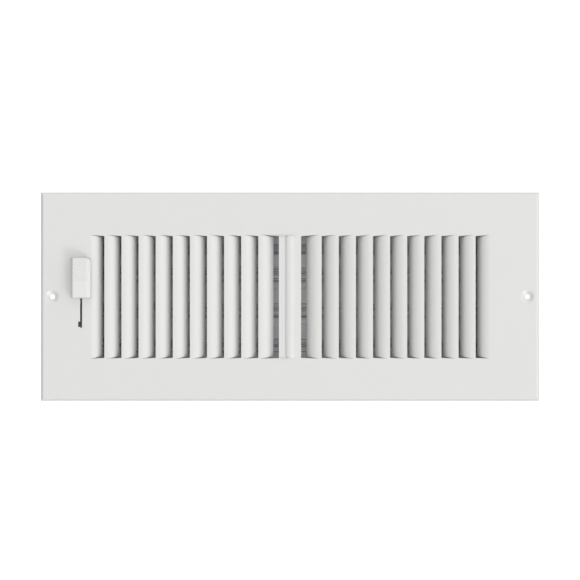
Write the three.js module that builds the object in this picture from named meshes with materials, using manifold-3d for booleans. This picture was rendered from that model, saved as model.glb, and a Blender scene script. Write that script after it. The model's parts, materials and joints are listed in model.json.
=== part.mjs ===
// Louvred air grille with a three-shutter damper behind it.
//
// Millimetres. +X runs along the grille, +Z is up and the louvred face looks
// towards -Y. The origin is the centre of the wall plane, which the back edge
// of the face plate's rim rests on.

import * as THREE from 'three';
import { mergeVertices } from 'three/addons/utils/BufferGeometryUtils.js';
import Module from 'manifold-3d';

const wasm = await Module();
wasm.setup();

// ---------------------------------------------------------------- dimensions

// Duct opening and face plate
const OPENING_WIDTH = 304.8;
const OPENING_HEIGHT = 101.6;
const FACE_OVERHANG = 22.225; // face beyond the opening on every side
const RIM_DEPTH = 5;
const FACE_SHEET = 0.8;
const EDGE_RADIUS = 2;

// Louvres: blades lanced from the face, half of them facing each way
const LOUVRE_PITCH = 12;
const STRIP_WIDTH = 1.8; // flat strip left between two blades
const SLIT_WIDTH = 1.4; // clear gap between a strip and the next blade's tail
const BLADE_ANGLE = 60; // degrees, from the face at the tail
const BLADE_STEPS = 7;
const BLADE_END_GAP = 0.3; // sheared gap at each end of a blade
const CENTRE_STRIP_WIDTH = 15.6;
const CENTRE_GAP = 3.8; // gap beside the centre strip
const FIELD_MARGIN = 4.2; // louvres end this far inside the damper box
const CONTROL_BAY = 9; // box width kept clear of louvres for the control bar

// Pressed bead on the centre strip
const BEAD_WIDTH = 6.4;
const BEAD_HEIGHT = 1.6;
const DOME_SINK = 0.25; // widest section of the bead, behind the sheet's surface

// Dimpled screw holes
const SCREW_INSET = 8; // from the face edge
const SCREW_HOLE = 3.6;
const DIMPLE_WIDTH = 8.6;
const DIMPLE_DEPTH = 1.7;

// Damper box
const DUCT_CLEARANCE = 2.4; // between the duct and the box, all round
const BOX_SHEET = 0.8;
const FRONT_FLANGE = 9; // rail flange against the back of the face
const CORNER_FLANGE = 9; // end plate flange under a rail
const CORNER_FLANGE_DEPTH = 15;
const REAR_FLANGE = 7; // end plate turned in behind the control bar
const RIVET_RADIUS = 1.6;
const RIVET_HEAD_RADIUS = 3;
const RIVET_HEAD_HEIGHT = 1.1;
const RIVET_OFFSETS = [4.5, 11.5]; // along the corner flange, from its front edge

// Shutters: each lower edge laps in front of the next shutter's upper edge
const SHUTTER_NAMES = ['top', 'middle', 'bottom'];
const END_STRIP = 9.8; // closed by the rail's lip above and below the shutters
const UPPER_LAP = 0.8; // each edge beyond half the pitch
const LOWER_LAP = 1.3;
const SHUTTER_SHEET = 0.6;
const BAND_FORWARD = 3.2; // flat middle ahead of the pivots
const UPPER_BEND = 4.5; // where the upper bend starts, above the pivot
const UPPER_BEND_HEIGHT = 2;
const UPPER_BEND_BACK = 1;
const UPPER_EDGE_BACK = 2.4;
const LOWER_BEND = 8.7; // where the step to the lower wing starts, below the pivot
const LOWER_BEND_HEIGHT = 1.8;
const LOWER_WING_FORWARD = 1.2;
const LIP_LAP = 1.3; // rail lip over a shutter edge
const EAR_SHEET = 0.8;

// Pivots
const PIN_RADIUS = 1.6;
const PIN_HEAD_RIM = 0.8; // head beyond the pin's radius
const PIN_SHOULDER_RIM = 0.8;
const PIN_HEAD = 0.8;
const PIN_END = 1.8; // pin beyond the outside of the box
const BUSHING_WALL = 1.3;
const BUSHING_FLANGE_RIM = 1.8;
const BUSHING_FLANGE = 0.9;
const BUSHING_LIP_RIM = 0.8;
const BUSHING_LIP = 0.9;
const PIVOT_PLAY = 0.6; // shutter ear to bushing

// Control linkage: a sliding bar whose slots carry the shutters' crank pins.
// Its neck runs forwards between the top and middle pivots to the face.
const SWING = 82; // degrees, closed to open
const CRANK_RIM = 2.5; // crank beyond its link pin's radius
const BAR_SHEET = 0.8;
const BAR_INSET = 3.5; // middle of the bar from the outside of the box
const BAR_STANDOFF = 2.7; // bar to shutter ear
const BAR_RIM = 2; // bar round its yoke slots
const BAR_GUARD = 2; // end plate behind the bar
const NECK_HEIGHT = 3;
const NECK_CLEARANCE = 0.5; // neck to the pivots above and below it
const RISER_WIDTH = 7;
const RISER_CLEARANCE = 1; // riser to the back of the face
const YOKE_PLAY = 0.6; // above and below a link pin in its slot
const LINK_RADIUS = 1.5;
const LINK_HEAD_RIM = 1.4;
const LINK_HEAD = 0.8;
const SPACER_WALL = 1;
const TAB_BOTTOM = -1; // tab's lower end at rest, from the middle of the face
const TAB_HEIGHT = 13;
const TONGUE_HEIGHT = 11;
const TONGUE_LENGTH = 6;
const SLOT_END_CLEARANCE = 0.4;
const NOTCH_WIDTH = 1.4; // assembly notch beside the slot, past the tab's travel
const NOTCH_HEIGHT = 3.8;
const NOTCH_RISE = 0.6;

// Knob
const KNOB_HEIGHT = 28.6;
const KNOB_DEPTH = 9;
const KNOB_BASE_WIDTH = 14.1;
const KNOB_FRONT_WIDTH = 9.8;
const KNOB_LEAN = 0.6; // front of the knob towards the end of the grille
const KNOB_DROP = 0.1; // knob's lower end below the tab
const KNOB_CORNER = 3; // chamfer on one upper corner
const KNOB_CLEARANCE = 0.5;

// Fits
const GAP = 0.3; // between any two neighbouring pieces
const SWEEP_CLEARANCE = 2.5; // opening shutters to the louvre tails
const STOP_CLEARANCE = 0.4; // closed shutters to the rail lips
const ROUND_STEPS = 16;

// ---------------------------------------------------------- derived dimensions

const radians = THREE.MathUtils.degToRad;

const faceHalfWidth = OPENING_WIDTH / 2 + FACE_OVERHANG;
const faceHalfHeight = OPENING_HEIGHT / 2 + FACE_OVERHANG;
const faceFront = -RIM_DEPTH;
const faceBack = faceFront + FACE_SHEET;

const boxHalfWidth = OPENING_WIDTH / 2 - DUCT_CLEARANCE;
const boxHalfHeight = OPENING_HEIGHT / 2 - DUCT_CLEARANCE;
const innerHalfWidth = boxHalfWidth - BOX_SHEET;
const innerHalfHeight = boxHalfHeight - BOX_SHEET;
const boxFront = faceBack + GAP;

const bladeAngle = radians(BLADE_ANGLE);
const bladeReach = LOUVRE_PITCH - STRIP_WIDTH - SLIT_WIDTH; // root to tail, from the front
const bladeRadius = bladeReach / Math.sin(bladeAngle);
const bladeTail = faceFront + bladeRadius - (bladeRadius - FACE_SHEET) * Math.cos(bladeAngle);
const centreStripHalf = CENTRE_STRIP_WIDTH / 2;
const firstRoot = centreStripHalf + CENTRE_GAP + bladeReach;
const bladesPerSide = Math.floor((boxHalfWidth - CONTROL_BAY - firstRoot) / LOUVRE_PITCH) + 1;
const fieldHalfHeight = innerHalfHeight - FIELD_MARGIN;

const shutterPitch = (2 * innerHalfHeight - 2 * END_STRIP) / SHUTTER_NAMES.length;
const upperEdge = shutterPitch / 2 + UPPER_LAP; // above and below the pivot
const lowerEdge = shutterPitch / 2 + LOWER_LAP;
const lowerWingFront = BAND_FORWARD + LOWER_WING_FORWARD + SHUTTER_SHEET / 2;
const upperEdgeFront = BAND_FORWARD - UPPER_EDGE_BACK + SHUTTER_SHEET / 2;
const axisY = bladeTail + SWEEP_CLEARANCE + Math.hypot(lowerEdge, lowerWingFront);

const outerPivot = shutterPitch * (SHUTTER_NAMES.length - 1) / 2;
const topLipEnd = outerPivot + upperEdge - LIP_LAP;
const bottomLipEnd = outerPivot + lowerEdge - LIP_LAP;
const topLipFront = axisY - upperEdgeFront - STOP_CLEARANCE - BOX_SHEET;
const bottomLipFront = axisY - lowerWingFront + SHUTTER_SHEET + STOP_CLEARANCE;

const bushingRadius = PIN_RADIUS + GAP + BUSHING_WALL;
const shoulderRadius = PIN_RADIUS + PIN_SHOULDER_RIM;
const crankHalf = LINK_RADIUS + CRANK_RIM;
const barX = -(boxHalfWidth - BAR_INSET);
const barOuter = barX - BAR_SHEET / 2;
const barInner = barX + BAR_SHEET / 2;
const leftEarOuter = barInner + BAR_STANDOFF;
const rightEarOuter = innerHalfWidth - GAP - BUSHING_FLANGE - PIVOT_PLAY;

// The neck slides from just under the top pivot to just above the middle one
const neckTop = shutterPitch - shoulderRadius - NECK_CLEARANCE;
const neckBottom = neckTop - NECK_HEIGHT;
const travel = neckBottom - shoulderRadius - NECK_CLEARANCE;
const crankRadius = travel / 2 / Math.sin(radians(SWING / 2));
const linkBack = crankRadius * Math.cos(radians(SWING / 2)); // link pin behind its pivot
const linkRise = travel / 2; // and above it, at rest
const linkY = axisY + linkBack;
const yokeHalfHeight = LINK_RADIUS + YOKE_PLAY;
const yokeRear = axisY + crankRadius + yokeHalfHeight;
const yokeFront = linkY - yokeHalfHeight;
const barRear = yokeRear + BAR_RIM;
const barFront = yokeFront - BAR_RIM;

const tabTop = TAB_BOTTOM + TAB_HEIGHT;
const slotTop = tabTop + SLOT_END_CLEARANCE;
const slotBottom = TAB_BOTTOM - travel - NOTCH_HEIGHT - NOTCH_RISE;
const slotHalfWidth = BAR_SHEET / 2 + GAP;
const knobBase = faceFront - KNOB_CLEARANCE;
const tabFront = knobBase + GAP;
const tongueMiddle = (tabTop + TAB_BOTTOM) / 2;

// ------------------------------------------------------------------- materials

const whitePaint = { color: 0xe8e8e6, roughness: 0.45, metalness: 0 };
const galvanised = { color: 0xa9adb0, roughness: 0.42, metalness: 0.85 };
const pinSteel = { color: 0xb8babc, roughness: 0.3, metalness: 0.95 };
const whitePlastic = { color: 0xecebe7, roughness: 0.5, metalness: 0 };
const nylon = { color: 0xdedbd0, roughness: 0.55, metalness: 0 };

// ---------------------------------------------------------------- solid helpers

// Points are snapped to a fine binary grid, so that faces meant to lie in one
// plane do so exactly when solids are joined.
const GRID = 1 / 1024;

function solidFrom(geometry) {
  const bare = geometry.clone();
  bare.deleteAttribute('normal');
  bare.deleteAttribute('uv');
  const snapped = bare.attributes.position.array.map((value) => Math.round(value / GRID) * GRID);
  bare.setAttribute('position', new THREE.BufferAttribute(snapped, 3));
  const merged = mergeVertices(bare, 1e-4);
  const mesh = new wasm.Mesh({
    numProp: 3,
    vertProperties: merged.attributes.position.array,
    triVerts: new Uint32Array(merged.index.array),
  });
  return new wasm.Manifold(mesh);
}

function geometryFrom(solid) {
  const mesh = solid.simplify(4 * GRID).getMesh();
  const geometry = new THREE.BufferGeometry();
  geometry.setAttribute('position', new THREE.BufferAttribute(mesh.vertProperties, 3));
  geometry.setIndex(new THREE.BufferAttribute(mesh.triVerts, 1));
  geometry.computeVertexNormals();
  return geometry;
}

function box(x0, x1, y0, y1, z0, z1) {
  const geometry = new THREE.BoxGeometry(x1 - x0, y1 - y0, z1 - z0);
  geometry.translate((x0 + x1) / 2, (y0 + y1) / 2, (z0 + z1) / 2);
  return solidFrom(geometry);
}

function outline(points) {
  return new THREE.Shape(points.map(([a, b]) => new THREE.Vector2(a, b)));
}

const alongX = new THREE.Matrix4().makeBasis(
  new THREE.Vector3(0, 1, 0),
  new THREE.Vector3(0, 0, 1),
  new THREE.Vector3(1, 0, 0),
);
const alongMinusY = new THREE.Matrix4().makeBasis(
  new THREE.Vector3(1, 0, 0),
  new THREE.Vector3(0, 0, 1),
  new THREE.Vector3(0, -1, 0),
);

// A (y, z) shape from x0 to x1
function extrudeX(shape, x0, x1) {
  const geometry = new THREE.ExtrudeGeometry(shape, { depth: x1 - x0, bevelEnabled: false });
  geometry.applyMatrix4(alongX);
  geometry.translate(x0, 0, 0);
  return solidFrom(geometry);
}

// An (x, z) shape from y0 to y1
function extrudeY(shape, y0, y1) {
  const geometry = new THREE.ExtrudeGeometry(shape, { depth: y1 - y0, bevelEnabled: false });
  geometry.applyMatrix4(alongMinusY);
  geometry.translate(0, y1, 0);
  return solidFrom(geometry);
}

// An (x, y) shape from z0 to z1
function extrudeZ(shape, z0, z1) {
  const geometry = new THREE.ExtrudeGeometry(shape, { depth: z1 - z0, bevelEnabled: false });
  geometry.translate(0, 0, z0);
  return solidFrom(geometry);
}

// A closed (radius, height) profile turned about +Y
function turned(profile) {
  const points = profile.map(([r, h]) => new THREE.Vector2(r, h));
  return new THREE.LatheGeometry(points, ROUND_STEPS);
}

// A turned profile with its height along +X
function turnedX(profile, y, z) {
  const geometry = turned(profile);
  geometry.rotateZ(-Math.PI / 2);
  geometry.translate(0, y, z);
  return solidFrom(geometry);
}

function circle(radius, a, b) {
  const shape = new THREE.Shape();
  shape.absarc(a, b, radius, 0, 2 * Math.PI, false);
  return shape;
}

// A pill outline between two points, round at both ends
function pill(a0, b0, a1, b1, radius) {
  const heading = Math.atan2(b1 - b0, a1 - a0);
  const shape = new THREE.Shape();
  shape.absarc(a1, b1, radius, heading - Math.PI / 2, heading + Math.PI / 2, false);
  shape.absarc(a0, b0, radius, heading + Math.PI / 2, heading + 3 * Math.PI / 2, false);
  shape.closePath();
  return shape;
}

// The outline of a bent sheet, from the middle line of its section
function bentSheet(path, thickness) {
  const points = path.map(([a, b]) => new THREE.Vector2(a, b));
  const headings = points.slice(1).map((point, i) => point.clone().sub(points[i]).normalize());
  const offset = (i, side) => {
    const before = headings[Math.max(i - 1, 0)];
    const after = headings[Math.min(i, headings.length - 1)];
    const mitre = before.clone().add(after).normalize();
    const reach = side * thickness / 2 / mitre.dot(after);
    return [points[i].x - mitre.y * reach, points[i].y + mitre.x * reach];
  };
  const there = points.map((_, i) => offset(i, 1));
  const back = points.map((_, i) => offset(i, -1)).reverse();
  return outline([...there, ...back]);
}

const group = new THREE.Group();

function addNode(name, solid, look) {
  const mesh = new THREE.Mesh(geometryFrom(solid), new THREE.MeshStandardMaterial(look));
  mesh.name = name;
  group.add(mesh);
}

// ------------------------------------------------------------------ face plate

// A slab from y = front back to y = 0 whose front edges are rounded
function roundedSlab(halfWidth, halfHeight, front, radius) {
  const w = halfWidth - radius;
  const h = halfHeight - radius;
  const shape = outline([[-w, -h], [w, -h], [w, h], [-w, h]]);
  const geometry = new THREE.ExtrudeGeometry(shape, {
    depth: -front,
    bevelThickness: radius,
    bevelSize: radius,
    bevelSegments: 4,
  });
  geometry.applyMatrix4(alongMinusY);
  geometry.translate(0, radius, 0);
  const behindWall = box(-halfWidth - 1, halfWidth + 1, 0, 2 * radius + 1, -halfHeight - 1, halfHeight + 1);
  return solidFrom(geometry).subtract(behindWall);
}

// One curved blade; side is 1 right of the centre and -1 left of it
function blade(side, root) {
  const centreY = faceFront + bladeRadius;
  const front = [];
  const back = [];
  for (let i = 0; i <= BLADE_STEPS; i += 1) {
    const angle = bladeAngle * i / BLADE_STEPS;
    front.push([root - bladeRadius * Math.sin(angle), centreY - bladeRadius * Math.cos(angle)]);
    const inner = bladeRadius - FACE_SHEET;
    back.unshift([root - inner * Math.sin(angle), centreY - inner * Math.cos(angle)]);
  }
  const anchor = root + STRIP_WIDTH / 2;
  const points = [[anchor, faceFront], ...front, ...back, [anchor, faceBack]];
  const placed = points.map(([x, y]) => [side * x, y]);
  const end = fieldHalfHeight - BLADE_END_GAP;
  return extrudeZ(outline(placed), -end, end);
}

// A pill-shaped dome that stands height out of the plane at y
function dome(radius, height, y) {
  const straight = 2 * (fieldHalfHeight - BEAD_WIDTH / 2);
  const geometry = new THREE.CapsuleGeometry(radius, straight, 5, ROUND_STEPS);
  geometry.rotateX(Math.PI / 2);
  geometry.scale(1, (height + DOME_SINK) / radius, 1);
  geometry.translate(0, y + DOME_SINK, 0);
  return solidFrom(geometry);
}

// A turned profile with its height along +Y
function turnedY(profile, x) {
  const geometry = turned(profile);
  geometry.translate(x, 0, 0);
  return solidFrom(geometry);
}

// The sheet pressed back into a cone round a screw hole
function addDimple(plate, x) {
  const hole = SCREW_HOLE / 2;
  const mouth = DIMPLE_WIDTH / 2;
  const slope = (mouth - hole) / DIMPLE_DEPTH;
  const sunk = faceBack - FACE_SHEET / 2;
  const end = faceBack + DIMPLE_DEPTH - FACE_SHEET / 2;
  const cone = turnedY([
    [0, sunk],
    [mouth + slope * FACE_SHEET / 2, sunk],
    [hole + slope * FACE_SHEET / 2, end],
    [0, end],
  ], x);
  const recess = turnedY([
    [0, faceFront - 1],
    [mouth + slope, faceFront - 1],
    [hole, faceFront + DIMPLE_DEPTH],
    [hole, end + 1],
    [0, end + 1],
  ], x);
  return plate.add(cone).subtract(recess);
}

function facePlate() {
  const skin = roundedSlab(faceHalfWidth, faceHalfHeight, faceFront, EDGE_RADIUS);
  const hollow = roundedSlab(
    faceHalfWidth - FACE_SHEET,
    faceHalfHeight - FACE_SHEET,
    faceBack,
    EDGE_RADIUS - FACE_SHEET,
  );
  let plate = skin.subtract(hollow);

  for (const side of [-1, 1]) {
    for (let i = 0; i < bladesPerSide; i += 1) {
      const root = firstRoot + i * LOUVRE_PITCH;
      const stripEdge = i === 0 ? centreStripHalf : root - LOUVRE_PITCH + STRIP_WIDTH;
      const x0 = Math.min(side * stripEdge, side * root);
      const x1 = Math.max(side * stripEdge, side * root);
      const window = box(x0, x1, faceFront - 1, faceBack + 1, -fieldHalfHeight, fieldHalfHeight);
      plate = plate.subtract(window).add(blade(side, root));
    }
    plate = addDimple(plate, side * (faceHalfWidth - SCREW_INSET));
  }

  const frontHalf = box(-BEAD_WIDTH, BEAD_WIDTH, faceFront - 5, faceBack, -faceHalfHeight, faceHalfHeight);
  const beadOutside = dome(BEAD_WIDTH / 2, BEAD_HEIGHT, faceFront).intersect(frontHalf);
  const beadInside = dome(BEAD_WIDTH / 2 - FACE_SHEET, BEAD_HEIGHT, faceBack);
  plate = plate.add(beadOutside).subtract(beadInside);

  const slot = box(
    barX - slotHalfWidth, barX + slotHalfWidth,
    faceFront - 1, faceBack + 1,
    slotBottom, slotTop,
  );
  const notch = box(
    barX - slotHalfWidth - NOTCH_WIDTH, barX,
    faceFront - 1, faceBack + 1,
    slotBottom + NOTCH_RISE, slotBottom + NOTCH_RISE + NOTCH_HEIGHT,
  );
  return plate.subtract(slot).subtract(notch);
}

// ------------------------------------------------------------------ damper box

const rivetSpots = RIVET_OFFSETS.map((offset) => boxFront + GAP + offset);
const rivetX = innerHalfWidth - CORNER_FLANGE / 2;

// A rail; up is 1 for the top rail and -1 for the bottom one
function rail(up, lipFront, lipEnd) {
  const middle = BOX_SHEET / 2;
  const flange = bentSheet([
    [boxFront + middle, up * (boxHalfHeight + FRONT_FLANGE)],
    [boxFront + middle, up * (boxHalfHeight - middle)],
    [lipFront + BOX_SHEET, up * (boxHalfHeight - middle)],
  ], BOX_SHEET);
  const lip = bentSheet([
    [lipFront, up * (boxHalfHeight - middle)],
    [lipFront + middle, up * (boxHalfHeight - middle)],
    [lipFront + middle, up * lipEnd],
  ], BOX_SHEET);
  const lipHalf = innerHalfWidth - GAP;
  let solid = extrudeX(flange, -boxHalfWidth, boxHalfWidth).add(extrudeX(lip, -lipHalf, lipHalf));
  for (const side of [-1, 1]) {
    for (const y of rivetSpots) {
      solid = solid.subtract(rivetHole(side * rivetX, y));
    }
  }
  return solid;
}

function rivetHole(x, y) {
  const reach = boxHalfHeight + 1;
  return extrudeZ(circle(RIVET_RADIUS + GAP, x, y), -reach, reach);
}

function rivet(side, up, y) {
  const flangeInside = innerHalfHeight - GAP - BOX_SHEET;
  const tail = flangeInside - GAP;
  const head = boxHalfHeight + GAP;
  const geometry = turned([
    [0, tail - RIVET_HEAD_HEIGHT],
    [RIVET_HEAD_RADIUS * 0.6, tail - RIVET_HEAD_HEIGHT],
    [RIVET_HEAD_RADIUS * 0.8, tail],
    [RIVET_RADIUS, tail],
    [RIVET_RADIUS, head],
    [RIVET_HEAD_RADIUS, head],
    [RIVET_HEAD_RADIUS * 0.7, head + RIVET_HEAD_HEIGHT * 0.75],
    [0, head + RIVET_HEAD_HEIGHT],
  ]);
  geometry.rotateX(up * Math.PI / 2);
  geometry.translate(side * rivetX, y, 0);
  return solidFrom(geometry);
}

function endPlate(side) {
  const rear = barRear + BAR_GUARD;
  const top = innerHalfHeight - GAP;
  const front = boxFront + GAP;
  const inner = innerHalfWidth - CORNER_FLANGE;
  let solid = box(innerHalfWidth, boxHalfWidth, front, rear, -top, top);
  for (const up of [-1, 1]) {
    const z0 = Math.min(up * top, up * (top - BOX_SHEET));
    solid = solid.add(box(inner, boxHalfWidth, front, front + CORNER_FLANGE_DEPTH, z0, z0 + BOX_SHEET));
  }
  solid = solid.add(box(innerHalfWidth - REAR_FLANGE, boxHalfWidth, rear - BOX_SHEET, rear, -top, top));
  for (const y of rivetSpots) {
    solid = solid.subtract(rivetHole(rivetX, y));
  }
  for (const z of shutterHeights) {
    const hole = circle(bushingRadius + GAP, axisY, z);
    solid = solid.subtract(extrudeX(hole, innerHalfWidth - 1, boxHalfWidth + 1));
  }
  return side > 0 ? solid : solid.mirror([1, 0, 0]);
}

// ---------------------------------------------------- shutters and their pivots

const shutterHeights = SHUTTER_NAMES.map((_, i) => {
  const fromMiddle = (SHUTTER_NAMES.length - 1) / 2 - i;
  return fromMiddle * shutterPitch;
});

// A shutter about its pivot line, with its crank behind it
function shutter() {
  const wingY = -BAND_FORWARD - LOWER_WING_FORWARD;
  const section = bentSheet([
    [-BAND_FORWARD + UPPER_EDGE_BACK, upperEdge],
    [-BAND_FORWARD + UPPER_BEND_BACK, UPPER_BEND + UPPER_BEND_HEIGHT],
    [-BAND_FORWARD, UPPER_BEND],
    [-BAND_FORWARD, -LOWER_BEND],
    [wingY, -LOWER_BEND - LOWER_BEND_HEIGHT],
    [wingY, -lowerEdge],
  ], SHUTTER_SHEET);
  const leftEarInner = leftEarOuter + EAR_SHEET;
  const rightEarInner = rightEarOuter - EAR_SHEET;
  const pinHole = circle(PIN_RADIUS + GAP, 0, 0);
  const linkHole = circle(LINK_RADIUS + GAP, linkBack, linkRise);
  return extrudeX(section, leftEarOuter, rightEarOuter)
    .add(extrudeX(circle(crankHalf, 0, 0), rightEarInner, rightEarOuter))
    .add(extrudeX(pill(0, 0, linkBack, linkRise, crankHalf), leftEarOuter, leftEarInner))
    .subtract(extrudeX(pinHole, leftEarOuter - 1, leftEarInner + 1))
    .subtract(extrudeX(pinHole, rightEarInner - 1, rightEarOuter + 1))
    .subtract(extrudeX(linkHole, leftEarOuter - 1, leftEarInner + 1));
}

// Heights along a pin are measured outwards from the centre of the grille
function pivotPin(side, z) {
  const earOuter = side > 0 ? rightEarOuter : -leftEarOuter;
  const headTop = earOuter - EAR_SHEET - GAP;
  const headRadius = PIN_RADIUS + PIN_HEAD_RIM;
  const pinEnd = boxHalfWidth + PIN_END;
  const profile = [
    [0, headTop - PIN_HEAD], [headRadius, headTop - PIN_HEAD],
    [headRadius, headTop], [PIN_RADIUS, headTop],
    ...(side < 0 ? shoulder(earOuter + GAP) : []),
    [PIN_RADIUS, pinEnd], [0, pinEnd],
  ];
  return placedOutwards(profile, side, z);
}

// The collar that keeps a left-hand pin's shutter clear of the control bar
function shoulder(start) {
  const end = innerHalfWidth - GAP - BUSHING_FLANGE - GAP;
  return [[PIN_RADIUS, start], [shoulderRadius, start], [shoulderRadius, end], [PIN_RADIUS, end]];
}

function bushing(side, z) {
  const bore = PIN_RADIUS + GAP;
  const flangeRadius = bushingRadius + BUSHING_FLANGE_RIM;
  const flangeOuter = innerHalfWidth - GAP;
  const flangeInner = flangeOuter - BUSHING_FLANGE;
  const lip = boxHalfWidth + GAP;
  const profile = [
    [bore, flangeInner], [flangeRadius, flangeInner],
    [flangeRadius, flangeOuter], [bushingRadius, flangeOuter],
    [bushingRadius, lip], [bushingRadius + BUSHING_LIP_RIM, lip],
    [bushingRadius, lip + BUSHING_LIP], [bore, lip + BUSHING_LIP],
    [bore, flangeInner],
  ];
  return placedOutwards(profile, side, z);
}

function placedOutwards(profile, side, z) {
  const solid = turnedX(profile, axisY, z);
  return side > 0 ? solid : solid.mirror([1, 0, 0]);
}

// ------------------------------------------------------------- control linkage

function linkPin(z) {
  const innerHead = leftEarOuter + EAR_SHEET + GAP;
  const outerHead = barOuter - GAP;
  const headRadius = LINK_RADIUS + LINK_HEAD_RIM;
  const profile = [
    [0, outerHead - LINK_HEAD], [headRadius, outerHead - LINK_HEAD],
    [headRadius, outerHead], [LINK_RADIUS, outerHead],
    [LINK_RADIUS, innerHead], [headRadius, innerHead],
    [headRadius, innerHead + LINK_HEAD], [0, innerHead + LINK_HEAD],
  ];
  return turnedX(profile, linkY, z + linkRise);
}

function linkSpacer(z) {
  const start = barInner + GAP;
  const end = leftEarOuter - GAP;
  const bore = LINK_RADIUS + GAP;
  const outside = bore + SPACER_WALL;
  const profile = [[bore, start], [outside, start], [outside, end], [bore, end], [bore, start]];
  return turnedX(profile, linkY, z + linkRise);
}

function plate(y0, y1, z0, z1) {
  return box(barOuter, barInner, y0, y1, z0, z1);
}

function controlBar() {
  const rim = yokeHalfHeight + BAR_RIM;
  const top = outerPivot + linkRise + rim;
  const bottom = -outerPivot + linkRise - rim;
  const riserFront = faceBack + RISER_CLEARANCE;
  let solid = plate(barFront, barRear, bottom, top)
    .add(plate(riserFront, barFront + 1, neckBottom, neckTop))
    .add(plate(riserFront, riserFront + RISER_WIDTH, TAB_BOTTOM, neckTop))
    .add(plate(tabFront, riserFront + 1, TAB_BOTTOM, tabTop))
    .add(plate(
      tabFront - TONGUE_LENGTH, tabFront + 1,
      tongueMiddle - TONGUE_HEIGHT / 2, tongueMiddle + TONGUE_HEIGHT / 2,
    ));
  for (const pivot of shutterHeights) {
    const z = pivot + linkRise;
    const yoke = pill(yokeFront + yokeHalfHeight, z, yokeRear - yokeHalfHeight, z, yokeHalfHeight);
    solid = solid.subtract(extrudeX(yoke, barOuter - 1, barInner + 1));
  }
  return solid;
}

function knob() {
  const front = knobBase - KNOB_DEPTH;
  const bottom = TAB_BOTTOM - KNOB_DROP;
  const top = bottom + KNOB_HEIGHT;
  const draft = (KNOB_BASE_WIDTH - KNOB_FRONT_WIDTH) / 2;
  const halfBase = KNOB_BASE_WIDTH / 2;
  const halfFront = KNOB_FRONT_WIDTH / 2;
  const section = outline([
    [barX - halfBase, knobBase], [barX - KNOB_LEAN - halfFront, front],
    [barX - KNOB_LEAN + halfFront, front], [barX + halfBase, knobBase],
  ]);
  const side = outline([
    [knobBase, bottom], [front, bottom + draft / 4],
    [front, top - draft / 4], [knobBase, top],
  ]);
  const face = outline([
    [barX - halfBase, bottom], [barX + halfBase, bottom],
    [barX + halfBase, top - KNOB_CORNER], [barX + halfBase - KNOB_CORNER, top],
    [barX - halfBase, top],
  ]);
  const pocketHalf = TONGUE_HEIGHT / 2 + GAP;
  const pocket = box(
    barOuter - GAP, barInner + GAP,
    tabFront - TONGUE_LENGTH - GAP, knobBase + 1,
    tongueMiddle - pocketHalf, tongueMiddle + pocketHalf,
  );
  return extrudeZ(section, bottom, top)
    .intersect(extrudeX(side, barX - halfBase, barX + halfBase))
    .intersect(extrudeY(face, front, knobBase))
    .subtract(pocket);
}

// -------------------------------------------------------------------- assembly

addNode('face_plate', facePlate(), whitePaint);
addNode('top_rail', rail(1, topLipFront, topLipEnd), galvanised);
addNode('bottom_rail', rail(-1, bottomLipFront, bottomLipEnd), galvanised);

for (const [sideName, side] of [['left', -1], ['right', 1]]) {
  addNode(`${sideName}_end_plate`, endPlate(side), galvanised);
  for (const [railName, up] of [['top', 1], ['bottom', -1]]) {
    addNode(`rivet_${railName}_${sideName}_front`, rivet(side, up, rivetSpots[0]), pinSteel);
    addNode(`rivet_${railName}_${sideName}_rear`, rivet(side, up, rivetSpots[1]), pinSteel);
  }
}

SHUTTER_NAMES.forEach((name, i) => {
  const z = shutterHeights[i];
  addNode(`${name}_shutter`, shutter().translate([0, axisY, z]), galvanised);
  for (const [sideName, side] of [['left', -1], ['right', 1]]) {
    addNode(`${name}_${sideName}_pivot_pin`, pivotPin(side, z), pinSteel);
    addNode(`${name}_${sideName}_bushing`, bushing(side, z), nylon);
  }
  addNode(`${name}_link_pin`, linkPin(z), pinSteel);
  addNode(`${name}_link_spacer`, linkSpacer(z), nylon);
});

addNode('control_bar', controlBar(), galvanised);
addNode('knob', knob(), whitePlastic);

export default group;
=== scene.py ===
"""Louvred air grille: the visible pieces, their finishes and the stage.

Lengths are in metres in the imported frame: +X along the grille, +Z up, and the
louvred face towards -Y. Every piece takes the place of one node of the frame.
"""

import json
import math

import bmesh
import bpy
from bpy.props import FloatProperty, FloatVectorProperty, IntProperty, PointerProperty
from mathutils import Matrix, Vector


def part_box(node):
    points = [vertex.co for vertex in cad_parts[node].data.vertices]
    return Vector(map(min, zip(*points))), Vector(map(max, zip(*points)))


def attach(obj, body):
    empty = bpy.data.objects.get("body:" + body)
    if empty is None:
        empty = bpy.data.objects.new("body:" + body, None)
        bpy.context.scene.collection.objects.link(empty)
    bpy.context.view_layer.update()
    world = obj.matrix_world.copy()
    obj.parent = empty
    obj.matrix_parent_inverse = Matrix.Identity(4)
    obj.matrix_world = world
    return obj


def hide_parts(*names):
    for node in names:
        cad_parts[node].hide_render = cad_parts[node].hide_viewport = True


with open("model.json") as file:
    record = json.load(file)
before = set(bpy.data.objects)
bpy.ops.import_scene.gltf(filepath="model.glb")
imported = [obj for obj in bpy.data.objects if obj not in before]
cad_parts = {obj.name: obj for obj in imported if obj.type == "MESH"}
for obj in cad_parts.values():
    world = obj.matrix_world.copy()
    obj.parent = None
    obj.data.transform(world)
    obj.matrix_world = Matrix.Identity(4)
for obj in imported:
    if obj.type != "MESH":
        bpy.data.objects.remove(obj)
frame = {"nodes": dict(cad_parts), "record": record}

bl_info = {
    "name": "Louvred Air Grille",
    "version": (1, 0, 0),
    "blender": (4, 5, 0),
    "location": "View3D > Sidebar > Air Grille",
    "description": "Models the visible pieces of a louvred air grille with a linked damper",
    "category": "Object",
}

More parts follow.
